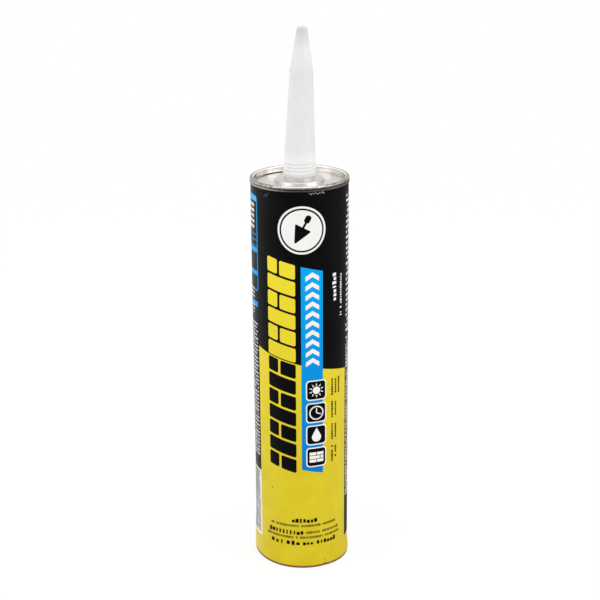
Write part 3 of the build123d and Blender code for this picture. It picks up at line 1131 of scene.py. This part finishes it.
def end_skin(tree, place, parts, radius):
    """The colour of the tinplate: bare tin with stains, the seam's mottled grey brown, and painted light and shade
    on the chuck wall, the neck, the groove and the seam's face.
    """
    side, depth, height = parts
    stains = {"Vector": place, "Scale": 1 / 5, "Detail": 3}
    stains = add_node(tree, "ShaderNodeTexNoise", inputs=stains).outputs["Fac"]
    flecks = {"Vector": place, "Scale": 1 / 0.9, "Detail": 4, "Roughness": 0.7}
    flecks = (add_node(tree, "ShaderNodeTexNoise", inputs=flecks).outputs["Fac"], 0.38, 0.62)
    skin = lay_over(tree, "#d0cfcc", "#c3c2bf", (stains, 0.35, 0.7))

    wall = inside(radius, groove_radius + 0.2, chuck_line + 0.5, 0.3)
    # Painted reflection: the chuck wall is a paler tin, for the bright room that it mirrors.
    skin = lay_over(tree, skin, "#f2ede6", *wall)
    # Painted light: the neck round the nozzle is nearly white, against the shade under the nozzle.
    neck = (radius, neck_radius + 0.5, neck_radius + 0.9, 1.0, 0.0)
    skin = lay_over(tree, skin, "#fbfbfc", neck, (height, neck_top - 0.8, neck_top - 0.4))
    # Painted shade and dark reflection: the foot of the chuck wall by the groove is near black, most at the back
    # on the left.
    groove = (height, panel_height + 0.2, panel_height + 0.55, 1.0, 0.0)
    left_back = [(depth, 6, 16, 0.2, 1.0), (side, -4, 10, 1.0, 0.5)]
    skin = lay_over(tree, skin, "#0d0c0b", *wall, groove, *left_back)

    rim = (radius, chuck_line + 0.4, chuck_line + 0.8)
    skin = lay_over(tree, skin, lay_over(tree, "#8d857d", "#635c55", flecks), rim)
    # Painted reflection: the seam's outer face is a mottled beige for the bright room that it mirrors.
    face = (radius, skin_line - 0.55, skin_line - 0.35)
    skin = lay_over(tree, skin, lay_over(tree, "#ccc4bc", "#786f68", flecks), face)
    # Painted highlight: the top of the seam is pale at the front.
    front_top_highlight = [(depth, -21, -23.5), (height, body_height - 0.6, body_height - 0.2)]
    skin = lay_over(tree, skin, lay_over(tree, "#f6f4f1", "#cfc9c2", flecks), rim, *front_top_highlight)
    # Painted dark reflection: a dull dark grey band low on the seam's face.
    dark_face_reflection = inside(height, seam_foot + 1.2, seam_foot + 1.6, 0.25)
    skin = lay_over(tree, skin, "#57514c", *dark_face_reflection, face)
    # Painted highlight: one pale line on the seam's lower curl.
    curl_highlight = inside(height, seam_foot + 0.75, seam_foot + 1.05, 0.12)
    skin = lay_over(tree, skin, "#c2b6aa", *curl_highlight, face)
    # Painted shade, with the dark cut edge: the lowest band of the face, where the seam curls under, is near
    # black.
    under = (height, seam_foot + 0.4, seam_foot + 0.55, 1.0, 0.0)
    return lay_over(tree, skin, "#1d1b1a", under, face)


def tinplate():
    """Bright tinned steel, with roll marks round the axis and duller worked places."""
    material, tree, place = open_material("bright_tinplate")
    parts, radius = from_axis(tree, place)
    skin = end_skin(tree, place, parts, radius)
    marks = add_node(tree, "ShaderNodeCombineXYZ", inputs={0: radius, 1: parts[2]}).outputs[0]
    marks = {"Vector": marks, "Scale": 1 / 0.18, "Detail": 3, "Roughness": 0.7}
    marks = add_node(tree, "ShaderNodeTexNoise", inputs=marks).outputs["Fac"]
    rim = {0: radius, 1: chuck_line + 0.4, 2: chuck_line + 0.8, 3: 0.24, 4: 0.32}
    drawn = {0: radius, 1: boss_radius + 0.2, 2: boss_radius + 0.6, 3: 0.09, 4: 0.0}
    streaks = {0: marks, 1: 0.3, 2: 0.8, 3: -0.07, 4: 0.07}
    roughness = 0.0
    for share in (rim, drawn, streaks):
        both = {0: roughness, 1: add_node(tree, "ShaderNodeMapRange", inputs=share).outputs[0]}
        roughness = add_node(tree, "ShaderNodeMath", {"operation": "ADD"}, both).outputs[0]
    broad = {"Vector": place, "Scale": 1 / 3.2, "Detail": 2}
    broad = add_node(tree, "ShaderNodeTexNoise", inputs=broad).outputs["Fac"]
    values = {"Base Color": skin, "Metallic": 1.0, "Roughness": roughness}
    close_material(tree, values, [(broad, 0.02), (marks, 0.005)])
    return material


tin = tinplate()
print("tinplate is ready")

# %% [markdown]
# The corners follow the sheet's middle line from the end of the hook to the top of the neck, and each
# inner corner has its own bend. Tight folds are bent round the sheet's own thickness and drawn ones
# are wider. The sheet is 224 facets round, so that the seam's outline stays smooth close up.

# %% The tinplate end
seam_wave = 0.05
end_facets = 224
end_corners = [
    (hook_line, seam_foot + 1.8),
    (hook_line, seam_foot + sheet / 2),
    (skin_line, seam_foot + sheet / 2),
    (skin_line, top_line),
    (chuck_line, top_line),
    (chuck_line, seam_foot),
    (groove_radius + groove_half_width, groove_line),
    (groove_radius - groove_half_width, groove_line),
    (groove_radius - groove_half_width - panel_ramp, panel_height),
    (boss_radius + boss_draft, panel_height),
    (boss_radius - boss_draft, boss_line),
    (neck_radius, boss_line + boss_crown),
    (neck_radius, neck_top),
]
end_bends = [0.134, 0.134, 0.8, 0.6, 0.6, 0.28, 0.28, 0.28, 0.5, 1.0, 0.45]


def rolled_wave(radius, height, angle):
    """The seam's slight waviness, which dies out inside it."""
    share = smooth_step(radius, chuck_line - 0.5, skin_line)
    around = Vector((3.5 * cos(angle), 3.5 * sin(angle), height * 0.35))
    wave = seam_wave * share
    return radius + wave * noise.noise(around), height + 0.6 * wave * noise.noise(around * 1.7)


end_path = rounded_path(end_corners, end_bends)
end_mesh = turned(sheet_section(end_path, sheet), end_facets, rolled_wave)
finish_piece("tinplate_end", end_mesh, "tinplate", tin, replaces=["metal_end"])

# %% [markdown]
# The nozzle is moulded polyethylene, milky and slightly see-through, with a satin skin. Light that
# enters it comes out again a millimetre or two away, which softens its shading. It is painted whiter
# towards its foot, as painted light against the shade next to the tinplate end, and a little greyer
# at its tip, as painted shade. The spark-eroded skin of a mould is finer than a render shows, so it
# is drawn with lumps of 0.5 mm.

# %% Milky plastic
def milky_plastic(name, colour, deeper, depth, ends=()):
    """Natural polyethylene: light enters it, spreads a millimetre or two and comes out pale.

    Each end is a height where the tone begins to change, one where it has changed, and its colour."""
    material, tree, place = open_material(name)
    cloud = {"Vector": place, "Scale": 1 / 5, "Detail": 3}
    cloud = add_node(tree, "ShaderNodeTexNoise", inputs=cloud).outputs["Fac"]
    tone = lay_over(tree, colour, deeper, (cloud, 0.3, 0.7))
    for begins, ends_at, end_colour in ends:
        height = add_node(tree, "ShaderNodeSeparateXYZ", inputs={0: place}).outputs[2]
        tone = lay_over(tree, tone, end_colour, (height, begins, ends_at))
    skin = {"Vector": place, "Scale": 1 / 0.5, "Detail": 2}
    skin = add_node(tree, "ShaderNodeTexNoise", inputs=skin).outputs["Fac"]
    satin = {0: skin, 1: 0.3, 2: 0.7, 3: 0.34, 4: 0.44}
    satin = add_node(tree, "ShaderNodeMapRange", inputs=satin).outputs[0]
    values = {
        "Base Color": tone,
        "Roughness": satin,
        "IOR": 1.51,
        "Subsurface Weight": depth,
        "Subsurface Radius": (1.0, 1.0, 1.0),
        "Subsurface Scale": 1.5 * MM,
    }
    close_material(tree, values, [(skin, 0.004)])
    return material


nozzle_low, nozzle_high = corners_mm("nozzle")
# Painted light: the nozzle turns white towards its foot, against the shade next to the tinplate end.
foot_painted_light = (neck_top + 14, neck_top + 1, pure_white)
# Painted shade: the nozzle turns a little greyer towards its tip.
tip_painted_shade = (nozzle_high.z - 11, nozzle_high.z - 1, "#cacace")
nozzle_ends = [foot_painted_light, tip_painted_shade]
nozzle_plastic = milky_plastic("milky_polyethylene", "#e5e5e7", "#e2e2e4", 0.85, nozzle_ends)
plunger_plastic = milky_plastic("white_polyethylene", "#edece8", "#e6e5e0", 0.15)
print("plastics are ready")

# %% [markdown]
# The nozzle's two tapers, four grip rings and closed tip are turned from one section, with the bore
# inside. A lathe-like turn is how its mould was cut, and it keeps the wall even. In the photograph it
# leans a little to the right, so the part above the shoulder does here too.

# %% The nozzle
nozzle_lean = 1.4
nozzle_facets = 128
base_radius, break_radius, tip_radius = 8.42, 5.87, 2.5
break_height = body_height + 54.4
flange_thickness = 1.2
stem_radius = 8.04
wall_thickness, tip_wall = 1.1, 1.6
shoulder = neck_top + 0.02
foot_bevel = 0.15
ring_start, ring_pitch, ring_width, ring_height, ring_count = 1.4, 1.8, 1.0, 0.14, 4


def cone_radius(height):
    """Radius of the long taper."""
    share = (height - shoulder) / (break_height - shoulder)
    return base_radius + share * (break_radius - base_radius)


def ring_profile(number):
    """A grip ring: a low round swelling on the taper."""
    low = shoulder + ring_start + number * ring_pitch
    steps = 6
    points = []
    for step in range(steps + 1):
        height = low + ring_width * step / steps
        points.append((cone_radius(height) + ring_height * sin(pi * step / steps), height))
    return points


taper = [(base_radius - foot_bevel, shoulder), (base_radius, shoulder + foot_bevel)]
for number in range(ring_count):
    taper += ring_profile(number)
upper_corners = [
    (cone_radius(break_height - 3), break_height - 3),
    (break_radius, break_height),
    (tip_radius, nozzle_high.z),
    (0, nozzle_high.z),
]
upper = rounded_path(upper_corners, [6.0, 1.2])
bore = [
    (0, nozzle_high.z - tip_wall),
    (tip_radius - wall_thickness, nozzle_high.z - tip_wall),
    (break_radius - wall_thickness, break_height),
    (stem_radius - wall_thickness, shoulder),
    (stem_radius - wall_thickness, nozzle_low.z),
]
flange = [
    (nozzle_high.x, nozzle_low.z),
    (nozzle_high.x, nozzle_low.z + flange_thickness),
    (stem_radius, nozzle_low.z + flange_thickness),
    (stem_radius, shoulder),
]
nozzle_mesh = turned(flange + taper + upper + bore, nozzle_facets)
for vert in nozzle_mesh.vertices:
    vert.co.x += tan(radians(nozzle_lean)) * max(0, vert.co.z - shoulder)
nozzle_facts = {"slot": "nozzle_plastic", "replaces": ["nozzle"], "sharp": 40}
finish_piece("nozzle_moulding", nozzle_mesh, material=nozzle_plastic, **nozzle_facts)

# %% [markdown]
# The tube is kraft board, wound from several plies and cut square. Only its crushed brown edge shows
# below the label, with the ply lines on the cut. It carries the same knocks as the label's foot.

# %% Kraft board
board_wall = 1.3
ply_thickness = 0.33


def kraft_board():
    """Brown board: short fibres all over, and rings of ply on the cut edge."""
    material, tree, place = open_material("kraft_board")
    plies = from_axis(tree, place)[1]
    for operation, other in (("MULTIPLY", 2 * pi / ply_thickness), ("SINE", 0.0)):
        both = {0: plies, 1: other}
        plies = add_node(tree, "ShaderNodeMath", {"operation": operation}, both).outputs[0]
    fibres = {"Vector": place, "Scale": 1 / 0.6, "Detail": 4, "Roughness": 0.7}
    fibres = add_node(tree, "ShaderNodeTexNoise", inputs=fibres).outputs["Fac"]
    brown = lay_over(tree, "#94694a", "#7a5238", (fibres, 0.3, 0.7))
    brown = lay_over(tree, brown, "#5f4630", (plies, 0.2, 1.0, 0.0, 0.35))
    values = {"Base Color": brown, "Roughness": 0.9, "Specular IOR Level": 0.2}
    close_material(tree, values, [(fibres, 0.05)])
    return material


board = kraft_board()
board_bore = board_radius - board_wall
board_top = corners_mm("tube_body")[1].z
edge_crush = 0.25


def crush(z):
    """How far the cut edge is crushed in at that height."""
    return edge_crush * (1 - smooth_step(z, 0, edge_crush))


def board_outside(u, z):
    """The glued face of the board, knocked as the label is."""
    return round_tube(u, z, board_radius - crush(z) + foot_knock(u, z))


def board_inside(u, z):
    """The bore, which keeps clear of the liner."""
    return round_tube(u, z, board_bore + crush(z))


board_levels = [0, 0.08, 0.16, edge_crush, 0.6] + foot_levels
board_levels += [foot_levels[-1] + (board_top - foot_levels[-1]) * step / 10 for step in range(1, 11)]
board_mesh = sleeve(cut_lines, board_levels, board_outside, board_inside)
finish_piece("board_tube", board_mesh, "wound_board", board, replaces=["tube_body"])

# %% [markdown]
# Inside, a foil liner keeps the adhesive off the board, a ring of compound seals the seam, and a foil
# disc closes the nozzle's foot. These CAD pieces have the right shape and only need their finish.

# %% Foil, compound and plunger
def foil(name, crease):
    """Aluminium foil: a soft mirror with small creases."""
    material, tree, place = open_material(name)
    wrinkles = {"Vector": place, "Scale": 1 / crease, "Detail": 3, "Roughness": 0.6}
    wrinkles = add_node(tree, "ShaderNodeTexNoise", inputs=wrinkles).outputs["Fac"]
    mirror = {0: wrinkles, 1: 0.3, 2: 0.7, 3: 0.24, 4: 0.4}
    mirror = add_node(tree, "ShaderNodeMapRange", inputs=mirror).outputs[0]
    values = {"Base Color": "#d6d7d8", "Metallic": 1.0, "Roughness": mirror}
    close_material(tree, values, [(wrinkles, 0.08)])
    return material


def compound():
    """Dried sealing compound: grey, matt and a little grainy."""
    material, tree, place = open_material("sealing_compound")
    lumps = {"Vector": place, "Scale": 1 / 0.7, "Detail": 3}
    lumps = add_node(tree, "ShaderNodeTexNoise", inputs=lumps).outputs["Fac"]
    grey = lay_over(tree, "#8f8d84", "#7c7a72", (lumps, 0.3, 0.7))
    close_material(tree, {"Base Color": grey, "Roughness": 0.7}, [(lumps, 0.03)])
    return material


def give_finish(node, material):
    """Puts a material on a CAD node that stays as it is."""
    frame["nodes"][node].data.materials.clear()
    frame["nodes"][node].data.materials.append(material)


give_finish("foil_liner", foil("liner_foil", 2.5))
give_finish("inner_seal", foil("seal_foil", 1.2))
give_finish("seam_compound", compound())
give_finish("plunger", plunger_plastic)
print("CAD pieces kept:", ["foil_liner", "inner_seal", "seam_compound", "plunger"])

# %% [markdown]
# The adhesive is a pale tan paste. The plunger pushes it out, so it has to flatten as the plunger
# rises. It is two pieces, because the middle ends up in the hollow of the boss and the rest under the
# lower panel, and for each the share of its height that stays when it is flattened towards its own
# ceiling is worked out.

# %% The adhesive
def paste():
    """Smooth wet paste, tan, with slow streaks from filling."""
    material, tree, place = open_material("tan_adhesive_paste")
    streaks = {"Vector": place, "Scale": 1 / 6, "Detail": 3}
    streaks = add_node(tree, "ShaderNodeTexNoise", inputs=streaks).outputs["Fac"]
    tan_tone = lay_over(tree, "#cdbf9d", "#bfb08c", (streaks, 0.0, 1.0))
    values = {"Base Color": tan_tone, "Roughness": 0.3, "IOR": 1.45}
    close_material(tree, values, [(streaks, 0.1)])
    return material


adhesive_low, adhesive_high = corners_mm("adhesive_fill")
plunger_high = corners_mm("plunger")[1]
travel = frame["joints"][0]["range_m"][1] / MM
paste_facets = 96
core_radius = 11.45
core_foot = plunger_high.z + paste_room
groove_underside = groove_line - sheet / 2 - paste_room


def flattening(name, section, anchor, room):
    """A piece of adhesive, and the share of its height that would stay if it flattened to room millimetres under
    its anchor.
    """
    mesh = turned(section, paste_facets)
    piece = finish_piece(name, mesh, "adhesive", paste_finish, replaces=["adhesive_fill"])
    keep = room / (anchor - section[0][1])
    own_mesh(piece)
    return keep


paste_finish = paste()
middle_section = [
    (0, core_foot),
    (core_radius, core_foot),
    (core_radius, adhesive_high.z),
    (0, adhesive_high.z),
]
round_section = [
    (core_radius, adhesive_low.z),
    (adhesive_high.x, adhesive_low.z),
    (adhesive_high.x, groove_underside),
    (core_radius, groove_underside),
]
middle_keep = flattening("adhesive_middle", middle_section, adhesive_high.z, 0.5)
round_keep = flattening("adhesive_round", round_section, groove_underside, 0.2)
print("travel", round(travel, 2), "adhesive keeps", round(middle_keep, 5), round(round_keep, 5))

# %% [markdown]
# Wear, as the photograph shows it: two short wrinkles in the label high on the left, drawn as grey strokes that
# are a painted highlight on their ridges, flecks of bare paper where the seam rubbed the print, a speck of dirt,
# and a dark nick at the dented foot.

# %% Wear
def fleck(middle_u, middle_z, length, width, degrees):
    """A small irregular scuff, pointed at its ends."""
    outline = []
    points = 14
    for step in range(points):
        angle = 2 * pi * step / points
        ragged = 1 + 0.35 * noise.noise(Vector((middle_u * 3 + cos(angle), middle_z + sin(angle), 0)))
        outline.append((length / 2 * cos(angle) * ragged, width / 2 * sin(angle) * ragged))
    return tilted(outline, (middle_u, middle_z), degrees)


scuffs = []
for number in range(13):
    u = 4.6 + number * 0.7
    z = label_top - 0.1 - 0.75 * (number * 7 % 5) / 4
    length, width = 0.45 + 0.16 * (number * 5 % 4), 0.16 + 0.08 * (number % 3)
    scuffs.append(fleck(u, z, length, width, 40 * (number % 3) - 30))
ink_film("label_scuffs", bare_paper, 6, [flat_shapes(scuffs)])
# The wrinkles' grey strokes are a painted highlight on their ridges.
wrinkles = [fleck(-19.4, 210.2, 3.4, 0.22, 52), fleck(-17.7, 210.6, 3.8, 0.26, 50)]
ink_film("label_wrinkle_highlights", wrinkle_highlight_ink, 6, [flat_shapes(wrinkles)])
specks = [
    fleck(-17.0, 47.0, 1.1, 0.35, 80),
    fleck(dent_middle + 0.3, 1.5, 1.6, 0.5, 85),
    fleck(dent_middle, 4.4, 1.6, 0.18, 88),
]
ink_film("label_specks", olive_ink, 6, [flat_shapes(specks)])
